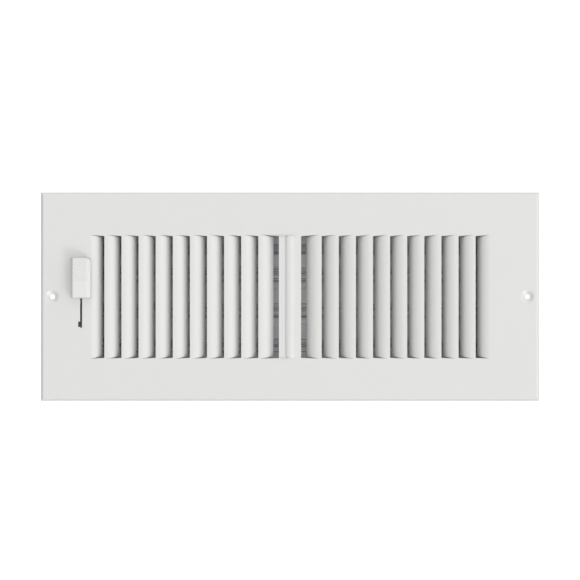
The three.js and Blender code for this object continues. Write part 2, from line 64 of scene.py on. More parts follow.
MM = 0.001
TOLERANCE = 1e-6  # for finding vertices by their place
FIT_GAP = 0.3 * MM  # between neighbouring pieces in the frame
EVERYWHERE = (-1, 1, -1, 1)  # an area wider and higher than the face
SHEET_EDGE = 0.1 * MM  # rounding of a cut sheet's edges
HEAD_CHAMFER = 0.25 * MM  # on pivot pin heads and bushing flanges
TIP_CHAMFER = 0.3 * MM  # on the tips of the pivot pins
LINK_CHAMFER = 0.2 * MM  # on link pin heads and inside bushings
SPACER_CHAMFER = 0.15 * MM
RIVET_RIM = 0.2 * MM  # straight rim under a rivet's dome
BLADE_STEPS = 10  # facets round a louvre's curve
BEAD_STEPS = 9  # facets across half the bead
RIM_STEPS = 6  # facets round the folded rim
ROWS = ("top", "middle", "bottom")
SIDES = (("left", -1), ("right", 1))

record = frame["record"]
body_of = {node: body for body, nodes in record["behaviour"]["bodies"].items() for node in nodes}
slot_of = {part["node"]: part["material_slot"] for part in record["subparts"]}


# ------------------------------------------------------------------ settings


def length(name, description, millimetres):
    """A length setting whose default is given in millimetres"""
    return FloatProperty(
        name=name, description=description, default=millimetres * MM, min=0.0, precision=5,
        unit="LENGTH",
    )


def colour(name, description, value):
    """A colour setting, in linear red, green and blue"""
    return FloatVectorProperty(
        name=name, description=description, default=value, min=0.0, max=1.0, size=3,
        subtype="COLOR",
    )


class GrilleFaceSettings(bpy.types.PropertyGroup):
    sheet: length("Sheet", "Thickness of the face's steel sheet", 0.8)
    edge_radius: length("Edge radius", "Outside radius of the folded rim", 2.0)
    pitch: length("Louvre pitch", "Distance from one louvre to the next", 12.0)
    strip: length("Strip width", "Flat strip left between two louvres", 1.8)
    slit: length("Slit width", "Clear gap beside each louvre's tail", 1.4)
    blade_angle: FloatProperty(
        name="Blade angle", description="Turn of a louvre from its root to its tail",
        default=math.radians(60), subtype="ANGLE",
    )
    blade_count: IntProperty(
        name="Louvres per side", description="Louvres on each side of the centre strip",
        default=11, min=1,
    )
    centre_strip: length("Centre strip", "Width of the flat centre strip", 15.6)
    centre_gap: length("Centre gap", "Clear gap beside the centre strip", 3.8)
    field_height: length("Louvre height", "Height of the louvred field", 86.8)
    top_slant: length("Top slant", "Fall of a window's top edge from root to tail", 0.9)
    bottom_slant: length("Bottom slant", "Rise of a window's bottom edge from root to tail", 0.5)
    blade_taper: length("Blade taper", "Shortening of each blade end at its tail", 1.6)
    bead_width: length("Bead width", "Width of the pressed bead", 6.4)
    bead_height: length("Bead height", "Height of the pressed bead", 1.6)
    bead_fullness: FloatProperty(
        name="Bead fullness", description="Low for a flat-topped bead, high for a pointed one",
        default=0.4, min=0.1, max=2.0,
    )
    screw_inset: length("Screw inset", "Screw hole centre from the face's end", 8.0)
    screw_hole: length("Screw hole", "Diameter of the screw hole", 3.6)
    dimple_width: length("Dimple width", "Diameter of the dimple at the face", 8.6)
    dimple_depth: length("Dimple depth", "Depth of the dimple", 1.7)
    cut_edge: length("Cut edge", "Rounding of the painted sheet's cut edges", 0.14)
    dimple_border: length("Dimple border", "Flat sheet kept round the dimple", 1.4)
    mouth_round: length("Mouth rounding", "Reach of the rounding at the dimple's mouth", 0.2)
    hole_round: length("Hole rounding", "Reach of the rounding at the screw hole", 0.35)
    slot_width: length("Slot width", "Width of the knob's slot", 1.4)
    slot_top: length("Slot top", "Slot's upper end above the middle", 12.4)
    slot_bottom: length("Slot bottom", "Slot's lower end below the middle", 21.8)
    notch_width: length("Notch width", "Width of the notch beside the slot", 1.4)
    notch_height: length("Notch height", "Height of the notch", 3.8)
    notch_rise: length("Notch rise", "Notch above the slot's lower end", 0.6)


class GrilleDamperSettings(bpy.types.PropertyGroup):
    box_sheet: length("Box sheet", "Thickness of the rails and end plates", 0.8)
    bend_radius: length("Bend radius", "Inside radius of the folded sheet", 0.8)
    corner_flange: length("Corner flange", "End plate flange under a rail", 9.0)
    corner_depth: length("Flange depth", "Depth of the corner flange", 15.0)
    rear_flange: length("Rear flange", "End plate turned in behind the control bar", 7.0)
    flange_corner: length("Flange corner", "Rounding of the rear flange's corners", 3.0)
    shutter_sheet: length("Shutter sheet", "Thickness of the shutters", 0.6)
    band_forward: length("Band forward", "Shutter's flat middle ahead of its pivots", 3.2)
    wing_forward: length("Wing forward", "Lower wing ahead of the flat middle", 1.2)
    edge_back: length("Edge back", "Upper edge behind the flat middle", 2.4)
    groove: length("Groove", "Depth of a shutter's stiffening grooves", 0.7)
    groove_pitch: length("Groove pitch", "Distance from one stiffening groove to the next", 2.6)
    groove_side: length("Groove side", "Height of the slope on each side of a groove", 0.5)
    groove_floor: length("Groove floor", "Height of the flat bottom of a groove", 0.8)
    upper_bend: length("Upper bend", "Height of the bend above the flat middle", 2.0)
    upper_step: length("Upper step", "Depth of the bend above the flat middle", 1.0)
    band_top: length("Band", "Half the height of a shutter's flat middle", 4.5)
    wing_top: length("Wing top", "Upper edge of the lower wing below the pivot", 9.2)
    wing_ridge: length("Wing ridge", "Height of the slope below the wing's upper edge", 1.2)
    wing_step: length("Wing step", "Wing's flat behind its two ridges", 0.8)
    ridge_height: length("Ridge height", "Foot of the lower edge's ridge above the edge", 1.4)
    crown_top: length("Crown top", "Top of that ridge's crown above the edge", 0.8)
    crown_bottom: length("Crown bottom", "Bottom of that ridge's crown above the edge", 0.5)
    hem: length("Hem", "Width of the folded hem along the upper edge", 3.2)
    hem_gap: length("Hem gap", "Gap inside the folded hem", 0.15)
    shutter_edge: length("Shutter edge", "Rounding of a shutter's cut edges", 0.08)
    fold_radius: length("Fold radius", "Rounding of a shutter's folds", 0.34)
    ear_sheet: length("Ear sheet", "Thickness of the shutter's ears", 0.8)
    ear_radius: length("Ear radius", "Half the width of an ear", 4.0)


class GrilleFittingSettings(bpy.types.PropertyGroup):
    pin_radius: length("Pivot pin radius", "Radius of the pivot pins", 1.6)
    link_radius: length("Link pin radius", "Radius of the link pins", 1.5)
    rivet_radius: length("Rivet radius", "Radius of the rivets' shanks", 1.6)
    rivet_head: length("Rivet head", "Height of the rivets' heads and tails", 1.1)
    head_height: length("Pin head", "Height of the pins' heads", 0.8)
    bushing_wall: length("Bushing wall", "Wall of the nylon bushings", 1.3)
    bushing_flange: length("Bushing flange", "Thickness of the bushings' flanges", 0.9)
    bushing_barb: length("Bushing barb", "Length of the snap-in barb", 0.9)
    barb_rim: length("Barb rim", "Barb beyond the bushing's body", 0.8)
    shoulder_rim: length("Pin shoulder", "Shoulder beyond the pin's radius", 0.8)
    turn_steps: IntProperty(
        name="Turn steps", description="Facets round each turned piece", default=40, min=8,
    )


class GrilleKnobSettings(bpy.types.PropertyGroup):
    front_width: length("Front width", "Width of the knob's front", 9.8)
    lean: length("Lean", "Knob's front towards the end of the grille", 0.6)
    shoulder: length("Shoulder", "Depth of the sloping shoulder beside the front", 2.6)
    corner: length("Rounded corner", "Radius of the knob's rounded upper corner", 3.0)
    edge: length("Edge radius", "Radius of the knob's moulded edges", 0.45)
    rib_pitch: length("Rib pitch", "Distance from one grip rib to the next", 1.75)
    rib_depth: length("Rib depth", "Depth of the grooves between the ribs", 0.35)
    rib_count: IntProperty(name="Ribs", description="Grooves across the knob's grip", default=9)
    pocket_rise: length("Pocket rise", "Middle of the pocket above the knob's foot", 6.6)
    pocket_height: length("Pocket height", "Height of the pocket for the bar's tongue", 11.6)
    pocket_width: length("Pocket width", "Width of the pocket", 1.4)
    pocket_depth: length("Pocket depth", "Depth of the pocket", 6.3)


class GrilleFinishSettings(bpy.types.PropertyGroup):
    paint: colour("Powder coat", "Colour of the face's powder coat", (0.80, 0.80, 0.795))
    zinc: colour("Galvanised sheet", "Colour of the zinc coat", (0.86, 0.87, 0.88))
    plating: colour("Plated steel", "Colour of the pins and rivets", (0.60, 0.60, 0.61))
    plastic: colour("Knob plastic", "Colour of the knob", (0.78, 0.78, 0.775))
    nylon: colour("Nylon", "Colour of the bushings and spacers", (0.72, 0.70, 0.63))


# ------------------------------------------------------------------ finishes


def new_finish(name):
    """An empty material with its shader, and a function that adds nodes to it"""
    material = bpy.data.materials.new(name)
    material.use_nodes = True
    tree = material.node_tree
    shader = tree.nodes["Principled BSDF"]

    def add(kind, **settings):
        node = tree.nodes.new(kind)
        for key, value in settings.items():
            setattr(node, key, value)
        return node

    return material, tree, shader, add


def object_noise(tree, add, scale, detail=2.0, stretch=(1.0, 1.0, 1.0)):
    """Noise on object coordinates; scale counts features per metre"""
    place = add("ShaderNodeTexCoord")
    mapping = add("ShaderNodeMapping")
    mapping.inputs["Scale"].default_value = stretch
    noise = add("ShaderNodeTexNoise")
    noise.inputs["Scale"].default_value = scale
    noise.inputs["Detail"].default_value = detail
    tree.links.new(place.outputs["Object"], mapping.inputs["Vector"])
    tree.links.new(mapping.outputs["Vector"], noise.inputs["Vector"])
    return noise.outputs["Fac"]


def ranged(tree, add, source, low, high):
    """The source's middle range spread from low to high"""
    spread = add("ShaderNodeMapRange")
    spread.inputs["From Min"].default_value = 0.3
    spread.inputs["From Max"].default_value = 0.7
    spread.inputs["To Min"].default_value = low
    spread.inputs["To Max"].default_value = high
    tree.links.new(source, spread.inputs["Value"])
    return spread.outputs["Result"]


def bumped(tree, add, shader, layers):
    """Stacks bumps on the shader; each layer is (height, strength, distance)"""
    normal = None
    for height, strength, distance in layers:
        bump = add("ShaderNodeBump")
        bump.inputs["Strength"].default_value = strength
        bump.inputs["Distance"].default_value = distance
        tree.links.new(height, bump.inputs["Height"])
        if normal is not None:
            tree.links.new(normal, bump.inputs["Normal"])
        normal = bump.outputs["Normal"]
    tree.links.new(normal, shader.inputs["Normal"])


def tinted(tree, add, shader, source, dark, light):
    """The shader's colour varied between two close tints"""
    mix = add("ShaderNodeMix", data_type="RGBA")
    mix.inputs["A"].default_value = (*dark, 1.0)
    mix.inputs["B"].default_value = (*light, 1.0)
    tree.links.new(source, mix.inputs["Factor"])
    tree.links.new(mix.outputs["Result"], shader.inputs["Base Color"])


def shaded(value, factor):
    """A colour made darker or lighter"""
    return tuple(min(channel * factor, 1.0) for channel in value)


def powder_coat(value):
    """Semi-gloss white powder coat with a fine orange peel"""
    material, tree, shader, add = new_finish("white_powder_coat")
    shader.inputs["Specular IOR Level"].default_value = 0.45
    clouds = object_noise(tree, add, 45.0)
    peel = object_noise(tree, add, 900.0, 1.0)
    grain = object_noise(tree, add, 4200.0, 2.0)
    tinted(tree, add, shader, ranged(tree, add, clouds, 0.0, 1.0), shaded(value, 0.985), value)
    roughness = ranged(tree, add, object_noise(tree, add, 160.0, 3.0), 0.38, 0.48)
    tree.links.new(roughness, shader.inputs["Roughness"])
    bumped(tree, add, shader, [(peel, 0.18, 0.05 * MM), (grain, 0.08, 0.01 * MM)])
    return material


def galvanised(value):
    """Zinc coat whose crystals catch the light differently"""
    material, tree, shader, add = new_finish("galvanised_sheet")
    shader.inputs["Metallic"].default_value = 0.6
    place = add("ShaderNodeTexCoord")
    crystals = add("ShaderNodeTexVoronoi")
    crystals.inputs["Scale"].default_value = 260.0
    tree.links.new(place.outputs["Object"], crystals.inputs["Vector"])
    facet = add("ShaderNodeSeparateColor")
    tree.links.new(crystals.outputs["Color"], facet.inputs["Color"])
    tinted(tree, add, shader, facet.outputs["Red"], shaded(value, 0.86), shaded(value, 1.12))
    roughness = ranged(tree, add, facet.outputs["Green"], 0.26, 0.42)
    tree.links.new(roughness, shader.inputs["Roughness"])
    rolled = object_noise(tree, add, 500.0, 3.0, (0.05, 1.0, 1.0))
    bumped(tree, add, shader, [
        (crystals.outputs["Distance"], 0.12, 0.03 * MM),
        (rolled, 0.15, 0.02 * MM),
    ])
    return material


def plated_steel(value):
    """Bright zinc plating over drawn wire"""
    material, tree, shader, add = new_finish("plated_pin_steel")
    shader.inputs["Metallic"].default_value = 0.9
    drawn = object_noise(tree, add, 2500.0, 3.0, (0.1, 1.0, 1.0))
    stain = object_noise(tree, add, 350.0, 4.0)
    tinted(tree, add, shader, stain, shaded(value, 0.88), shaded(value, 1.08))
    tree.links.new(ranged(tree, add, stain, 0.24, 0.4), shader.inputs["Roughness"])
    bumped(tree, add, shader, [(drawn, 0.2, 0.02 * MM)])
    return material


def moulded_plastic(value):
    """Satin white plastic with a spark-eroded mould texture"""
    material, tree, shader, add = new_finish("white_plastic")
    shader.inputs["Specular IOR Level"].default_value = 0.4
    shader.inputs["Subsurface Weight"].default_value = 0.05
    shader.inputs["Subsurface Scale"].default_value = 1.0 * MM
    texture = object_noise(tree, add, 3800.0, 2.0)
    flow = object_noise(tree, add, 120.0)
    tinted(tree, add, shader, flow, shaded(value, 0.98), value)
    tree.links.new(ranged(tree, add, texture, 0.42, 0.56), shader.inputs["Roughness"])
    bumped(tree, add, shader, [(texture, 0.12, 0.02 * MM)])
    return material


def natural_nylon(value):
    """Waxy natural nylon"""
    material, tree, shader, add = new_finish("nylon")
    shader.inputs["Subsurface Weight"].default_value = 0.15
    shader.inputs["Subsurface Scale"].default_value = 1.5 * MM
    flow = object_noise(tree, add, 300.0, 3.0)
    tinted(tree, add, shader, flow, shaded(value, 0.94), value)
    tree.links.new(ranged(tree, add, flow, 0.4, 0.55), shader.inputs["Roughness"])
    bumped(tree, add, shader, [(object_noise(tree, add, 2800.0), 0.1, 0.02 * MM)])
    return material


FINISHES = {
    "white_powder_coat": (powder_coat, "paint"),
    "galvanised_sheet": (galvanised, "zinc"),
    "plated_pin_steel": (plated_steel, "plating"),
    "white_plastic": (moulded_plastic, "plastic"),
    "nylon": (natural_nylon, "nylon"),
}


def finish_for(slot):
    """The finish of a material slot, made when it is first asked for"""
    if slot not in bpy.data.materials:
        make, setting = FINISHES[slot]
        return make(tuple(getattr(bpy.context.scene.grille_finish, setting)))
    return bpy.data.materials[slot]


# ------------------------------------------------------------- mesh helpers


def near(a, b):
    return abs(a - b) < 10 * TOLERANCE


def new_piece(name, bm):
    """An object from the bmesh, which is freed"""
    mesh = bpy.data.meshes.new(name)
    bm.to_mesh(mesh)
    bm.free()
    piece = bpy.data.objects.new(name, mesh)
    bpy.context.scene.collection.objects.link(piece)
    return piece


def thicken(piece, thickness, offset):
    wall = piece.modifiers.new("Wall", "SOLIDIFY")
    wall.thickness = thickness
    wall.offset = offset
    wall.use_even_offset = True


def soften(piece, width, segments=2, angle=30):
    edges = piece.modifiers.new("Edges", "BEVEL")
    edges.width = width
    edges.segments = segments
    edges.limit_method = "ANGLE"
    edges.angle_limit = math.radians(angle)
    edges.use_clamp_overlap = True


def seat(piece, node):
    """Fixes the piece's shape and puts it in the frame node's place"""
    piece.data.polygons.foreach_set("use_smooth", [True] * len(piece.data.polygons))
    weighted = piece.modifiers.new("Normals", "WEIGHTED_NORMAL")
    weighted.mode = "FACE_AREA"
    depsgraph = bpy.context.evaluated_depsgraph_get()
    mesh = bpy.data.meshes.new_from_object(piece.evaluated_get(depsgraph), depsgraph=depsgraph)
    piece.modifiers.clear()
    piece.data = mesh
    mesh.materials.clear()
    mesh.materials.append(finish_for(slot_of[node]))
    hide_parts(node)
    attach(piece, body_of[node])
    return piece


def cut(bm, faces, place, normal):
    """Cuts the faces along a plane"""
    edges = {edge for face in faces for edge in face.edges}
    verts = {vert for face in faces for vert in face.verts}
    bmesh.ops.bisect_plane(
        bm, geom=[*faces, *edges, *verts], dist=TOLERANCE, plane_co=place, plane_no=normal,
    )


def faces_in(bm, x0, x1, z0, z1):
    """Faces whose middle lies within a rectangle seen from the front"""
    middles = [(face, face.calc_center_median()) for face in bm.faces]
    return [face for face, at in middles if x0 < at.x < x1 and z0 < at.z < z1]


def cut_lines(bm, area, xs=(), zs=()):
    """Cuts the faces of an area along upright and level lines"""
    for x in xs:
        cut(bm, faces_in(bm, *area), Vector((x, 0, 0)), Vector((1, 0, 0)))
    for z in zs:
        cut(bm, faces_in(bm, *area), Vector((0, 0, z)), Vector((0, 0, 1)))


def bevel_creases(bm, offset, segments, least=20):
    """Rounds every fold sharper than the least angle, in degrees"""
    creases = [
        edge for edge in bm.edges
        if len(edge.link_faces) == 2 and edge.calc_face_angle() > math.radians(least)
    ]
    bmesh.ops.bevel(
        bm, geom=creases, offset=offset, offset_type="OFFSET", segments=segments,
        profile=0.5, affect="EDGES", material=-1, clamp_overlap=True,
    )


def extruded_edges(bm, edges, step=Vector()):
    """Extrudes the edges by step, and returns the new far edges and vertices"""
    made = bmesh.ops.extrude_edge_only(bm, edges=edges)["geom"]
    verts = [item for item in made if isinstance(item, bmesh.types.BMVert)]
    far = set(verts)
    edges = [
        item for item in made if isinstance(item, bmesh.types.BMEdge) and far.issuperset(item.verts)
    ]
    bmesh.ops.translate(bm, verts=verts, vec=step)
    return edges, verts


def extruded_path(bm, points, step):
    """A sheet from a line of points, extruded by step"""
    verts = [bm.verts.new(point) for point in points]
    edges = [bm.edges.new(pair) for pair in zip(verts, verts[1:])]
    return extruded_edges(bm, edges, step)


def turned(bm, profile, centre, axis, steps):
    """Spins (radius, height) points about the axis through the centre"""
    axis = Vector(axis)
    across = axis.orthogonal().normalized()
    verts = [bm.verts.new(centre + axis * height + across * radius) for radius, height in profile]
    edges = [bm.edges.new(pair) for pair in zip(verts, verts[1:])]
    bmesh.ops.spin(
        bm, geom=verts + edges, cent=centre, axis=axis, angle=2 * math.pi, steps=steps,
        use_merge=True,
    )
    bmesh.ops.remove_doubles(bm, verts=bm.verts, dist=TOLERANCE)
    bmesh.ops.recalc_face_normals(bm, faces=bm.faces)


def domed(radius, base, height, steps=6):
    """Profile points of a shallow dome from its rim to its crown"""
    angles = [math.pi / 2 * i / steps for i in range(steps + 1)]
    return [(radius * math.cos(a), base + height * math.sin(a)) for a in angles]


# -------------------------------------------------------------- face plate


def face_panel(bm, width, height, front):
    """The flat panel, one face towards -Y"""
    corners = [(-width, -height), (width, -height), (width, height), (-width, height)]
    bm.faces.new([bm.verts.new((x, front, z)) for x, z in corners])


def cut_windows(bm, face, roots):
    """Opens the window of every louvre and slants its ends"""
    half = face.field_height / 2
    band = (-1, 1, -half, half)
    cut_lines(bm, EVERYWHERE, zs=(-half, half))
    strip_edges = [face.centre_strip / 2] + [root + face.strip for root in roots[:-1]]
    for edge, root in zip(strip_edges, roots):
        cut_lines(bm, band, xs=(-root, -edge, edge, root))
        doomed = faces_in(bm, edge, root, -half, half) + faces_in(bm, -root, -edge, -half, half)
        bmesh.ops.delete(bm, geom=doomed, context="FACES")
    for vert in bm.verts:
        on_strip = any(near(abs(vert.co.x), edge) for edge in strip_edges)
        if on_strip and near(vert.co.z, half):
            vert.co.z -= face.top_slant
        elif on_strip and near(vert.co.z, -half):
            vert.co.z += face.bottom_slant


def curl_blades(bm, face, roots, front, reach):
    """Spins each window's root edge back into a curved blade with tapered ends"""
    half = face.field_height / 2
    radius = reach / math.sin(face.blade_angle)
    for side in (-1, 1):
        for root in roots:
            place = side * root
            edges = [
                edge for edge in bm.edges
                if len(edge.link_faces) == 1
                and all(near(v.co.x, place) and abs(v.co.z) < half + TOLERANCE for v in edge.verts)
            ]
            known = set(bm.verts)
            bmesh.ops.spin(
                bm, geom=edges + list({v for edge in edges for v in edge.verts}),
                cent=(place, front + radius, 0), axis=(0, 0, 1),
                angle=-side * face.blade_angle, steps=BLADE_STEPS,
            )
            for vert in set(bm.verts) - known:
                turn = math.atan2(abs(vert.co.x - place), front + radius - vert.co.y)
                share = turn / face.blade_angle
                vert.co.z *= 1 - face.blade_taper * share / half


def press_bead(bm, face, front):
    """Raises the rounded bead along the centre strip"""
    half = face.field_height / 2
    radius = face.bead_width / 2
    area = (-radius, radius, -half, half)
    step = radius / BEAD_STEPS
    columns = [i * step for i in range(1 - BEAD_STEPS, BEAD_STEPS)]
    rows = [half - i * step for i in range(1, BEAD_STEPS + 3)]
    strip = (-face.centre_strip / 2, face.centre_strip / 2, -half, half)
    cut_lines(bm, strip, xs=(-radius, radius))
    cut_lines(bm, area, xs=columns, zs=[-z for z in rows] + rows)
    straight = half - radius
    for vert in bm.verts:
        x, z = vert.co.x, vert.co.z
        away = math.hypot(x, max(abs(z) - straight, 0)) / radius
        if near(vert.co.y, front) and away < 1:
            vert.co.y -= face.bead_height * (1 - away ** 2) ** face.bead_fullness


def press_dimple(bm, face, place, front):
    """Presses a cone round a screw hole and joins it to a square of the panel"""
    mouth = face.dimple_width / 2
    hole = face.screw_hole / 2
    patch = mouth + face.dimple_border
    area = (place - patch, place + patch, -patch, patch)
    cut_lines(bm, EVERYWHERE, xs=area[:2])
    cut_lines(bm, (*area[:2], -1, 1), zs=area[2:])
    bmesh.ops.delete(bm, geom=faces_in(bm, *area), context="FACES")
    square = [
        edge for edge in bm.edges
        if len(edge.link_faces) == 1
        and all(abs(v.co.x - place) < patch + TOLERANCE and abs(v.co.z) < patch + TOLERANCE
                for v in edge.verts)
    ]
    made = bmesh.ops.subdivide_edges(bm, edges=square, cuts=11)["geom_split"]
    square = [item for item in made if isinstance(item, bmesh.types.BMEdge)]

    turn = Matrix.Translation((place, front, 0)) @ Matrix.Rotation(math.pi / 2, 4, "X")
    flat = mouth + face.dimple_border / 2
    ring = bmesh.ops.create_circle(bm, segments=48, radius=flat, matrix=turn)["verts"]
    edges = list({edge for vert in ring for edge in vert.link_edges})
    bmesh.ops.bridge_loops(bm, edges=edges + square)
    slope = face.dimple_depth / (mouth - hole)
    near_mouth, near_hole = face.mouth_round, face.hole_round
    stations = (
        (mouth + 1.25 * near_mouth, 0.2 * near_mouth),
        (mouth - near_mouth, 1.3 * near_mouth),
        (hole + near_hole, face.dimple_depth - near_hole * slope),
        (hole, face.dimple_depth),
    )
    for radius, depth in stations:
        edges, verts = extruded_edges(bm, edges)
        for vert in verts:
            across = Vector((vert.co.x - place, 0, vert.co.z)).normalized() * radius
            vert.co = Vector((place, front + depth, 0)) + across


def open_slot(bm, face, middle):
    """Opens the knob's slot and the notch that the tab goes in through"""
    slot = (middle - face.slot_width / 2, middle + face.slot_width / 2)
    notch = (slot[0] - face.notch_width, slot[0])
    notch_low = -face.slot_bottom + face.notch_rise
    notch_high = notch_low + face.notch_height
    area = (notch[0] - face.slot_width, slot[1] + face.slot_width, -1, 1)
    cut_lines(bm, EVERYWHERE, xs=area[:2])
    cut_lines(bm, area, zs=(-face.slot_bottom, notch_low, notch_high, face.slot_top))
    cut_lines(bm, (*area[:2], -face.slot_bottom, face.slot_top), xs=(notch[0], *slot))
    doomed = faces_in(bm, *slot, -face.slot_bottom, face.slot_top)
    doomed += faces_in(bm, *notch, notch_low, notch_high)
    bmesh.ops.delete(bm, geom=doomed, context="FACES")


def fold_rim(bm, face, width, height, front):
    """Extrudes the outer edge round the folded rim and back to the wall"""
    outer = [
        edge for edge in bm.edges
        if len(edge.link_faces) == 1
        and (all(near(abs(v.co.x), width) for v in edge.verts)
             or all(near(abs(v.co.z), height) for v in edge.verts))
    ]
    radius = face.edge_radius
    angles = [math.pi / 2 * i / RIM_STEPS for i in range(1, RIM_STEPS + 1)]
    rings = [(radius * math.sin(a), front + radius * (1 - math.cos(a))) for a in angles]
    for out, y in rings + [(radius, 0.0)]:
        outer, verts = extruded_edges(bm, outer)
        for vert in verts:
            if abs(vert.co.x) > width - TOLERANCE:
                vert.co.x = math.copysign(width + out, vert.co.x)
            if abs(vert.co.z) > height - TOLERANCE:
                vert.co.z = math.copysign(height + out, vert.co.z)
            vert.co.y = y


def build_face_plate(face):
    """The pressed face, from one flat panel"""
    low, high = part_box("face_plate")
    front = low.y + face.bead_height
    width = high.x - face.edge_radius
    height = high.z - face.edge_radius
    reach = face.pitch - face.strip - face.slit
    first = face.centre_strip / 2 + face.centre_gap + reach
    roots = [first + i * face.pitch for i in range(face.blade_count)]
    bar_low, bar_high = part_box("control_bar")

    bm = bmesh.new()
    face_panel(bm, width, height, front)
    for side in (-1, 1):
        press_dimple(bm, face, side * (high.x - face.screw_inset), front)
    open_slot(bm, face, (bar_low.x + bar_high.x) / 2)
    cut_windows(bm, face, roots)
    curl_blades(bm, face, roots, front, reach)
    press_bead(bm, face, front)
    fold_rim(bm, face, width, height, front)
    bmesh.ops.recalc_face_normals(bm, faces=bm.faces)
    if sum(f.normal.y * f.calc_area() for f in bm.faces) > 0:
        bmesh.ops.reverse_faces(bm, faces=bm.faces)
    piece = new_piece("face_pressing", bm)
    thicken(piece, face.sheet, -1)
    soften(piece, face.cut_edge)
    return seat(piece, "face_plate")


# -------------------------------------------------------------- damper box


def build_rail(damper, name, up):
    """A rail folded from one sheet: front flange, web and lip"""
    low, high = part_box(f"{name}_rail")
    end_low, end_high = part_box("right_end_plate")
    middle = damper.box_sheet / 2
    web = end_high.z + FIT_GAP + middle
    lip_half = end_low.x + damper.corner_flange - damper.box_sheet - FIT_GAP
    flange_top = max(abs(low.z), abs(high.z))
    lip_end = min(abs(low.z), abs(high.z))
    points = [
        (low.x, low.y + middle, up * flange_top),
        (low.x, low.y + middle, up * web),
        (low.x, high.y - middle, up * web),
        (low.x, high.y - middle, up * lip_end),
    ]
    bm = bmesh.new()
    extruded_path(bm, points, Vector((high.x - low.x, 0, 0)))
    for x in (-lip_half, lip_half):
        cut(bm, list(bm.faces), Vector((x, 0, 0)), Vector((1, 0, 0)))
    doomed = [
        f for f in bm.faces
        if abs(f.calc_center_median().x) > lip_half and abs(f.calc_center_median().z) < web - middle
    ]
    bmesh.ops.delete(bm, geom=doomed, context="FACES")
    bevel_creases(bm, damper.bend_radius + middle, 5)
    piece = new_piece(f"{name}_rail_sheet", bm)
    thicken(piece, damper.box_sheet, 0)
    soften(piece, SHEET_EDGE)
    return seat(piece, f"{name}_rail")


def build_end_plate(damper, name, side):
    """An end plate with corner flanges under the rails and a flange at its rear"""
    low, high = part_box(f"{name}_end_plate")
    middle = damper.box_sheet / 2
    outside = side * (max(abs(low.x), abs(high.x)) - middle)
    inside = outside - side * damper.corner_flange
    top = high.z - middle
    points = [
        (inside, low.y, top), (outside, low.y, top),
        (outside, low.y, -top), (inside, low.y, -top),
    ]
    bm = bmesh.new()
    extruded_path(bm, points, Vector((0, damper.corner_depth, 0)))
    flange_rear = low.y + damper.corner_depth
    rear = [
        edge for edge in bm.edges
        if all(near(v.co.x, outside) and near(v.co.y, flange_rear) for v in edge.verts)
    ]
    rear, _ = extruded_edges(bm, rear, Vector((0, high.y - middle - flange_rear, 0)))
    _, inner = extruded_edges(bm, rear, Vector((-side * damper.rear_flange, 0, 0)))
    bmesh.ops.bevel(
        bm, geom=inner, offset=damper.flange_corner, offset_type="OFFSET", segments=5,
        profile=0.5, affect="VERTICES", material=-1,
    )
    bevel_creases(bm, damper.bend_radius + middle, 5)
    piece = new_piece(f"{name}_end_sheet", bm)
    thicken(piece, damper.box_sheet, 0)
    soften(piece, SHEET_EDGE)
    return seat(piece, f"{name}_end_plate")


# ---------------------------------------------------------------- shutters


def pivot_of(row):
    """(y, z) of a shutter's axis"""
    low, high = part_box(f"{row}_left_pivot_pin")
    return (low.y + high.y) / 2, (low.z + high.z) / 2


def shutter_path(damper, upper, lower):
    """(forward, up) points of a shutter's middle line about its pivot, from the top down"""
    band = damper.band_forward
    wing = band + damper.wing_forward
    flat = wing - damper.wing_step
    groove = band - damper.groove
    top = band - damper.edge_back
    fold = top - damper.shutter_sheet - damper.hem_gap
    path = [(fold, upper - damper.hem), (fold, upper), (top, upper)]
    path += [(band - damper.upper_step, damper.band_top + damper.upper_bend)]
    path += [(band, damper.band_top)]
    for i in range(2):
        start = -damper.band_top - i * damper.groove_pitch
        floor = start - damper.groove_side
        end = floor - damper.groove_floor
        path += [(band, start), (groove, floor), (groove, end)]
        if i == 0:
            path += [(band, end - 1.4 * damper.groove_side)]
    path += [(wing, -damper.wing_top), (flat, -damper.wing_top - damper.wing_ridge)]
    path += [(flat, damper.ridge_height - lower), (wing, damper.crown_top - lower)]
    path += [(wing, damper.crown_bottom - lower), (flat, -lower)]
    return path


def ear(damper, x, pivot, far=None):
    """A flat ear from the shutter's middle, round at its pivot or stretched to a far end"""
    y, z = pivot
    bm = bmesh.new()
    turn = Matrix.Translation((x, y, z)) @ Matrix.Rotation(math.pi / 2, 4, "Y")
    ring = bmesh.ops.create_circle(
        bm, segments=40, radius=damper.ear_radius, matrix=turn, cap_ends=True,
    )["verts"]
    forward = y - damper.band_forward
    heading = Vector((0, far[0] - y, far[1] - z)) if far else None
    for vert in ring:
        out = vert.co - Vector((x, y, z))
        if heading and out.dot(heading) > TOLERANCE:
            vert.co += heading
        elif vert.co.y < y - 0.5 * damper.ear_radius:
            vert.co.y = forward
    return bm


def join_bmesh(target, source):
    """Adds the source's mesh to the target and frees the source"""
    carrier = bpy.data.meshes.new("carrier")
    source.to_mesh(carrier)
    source.free()
    target.from_mesh(carrier)
    bpy.data.meshes.remove(carrier)


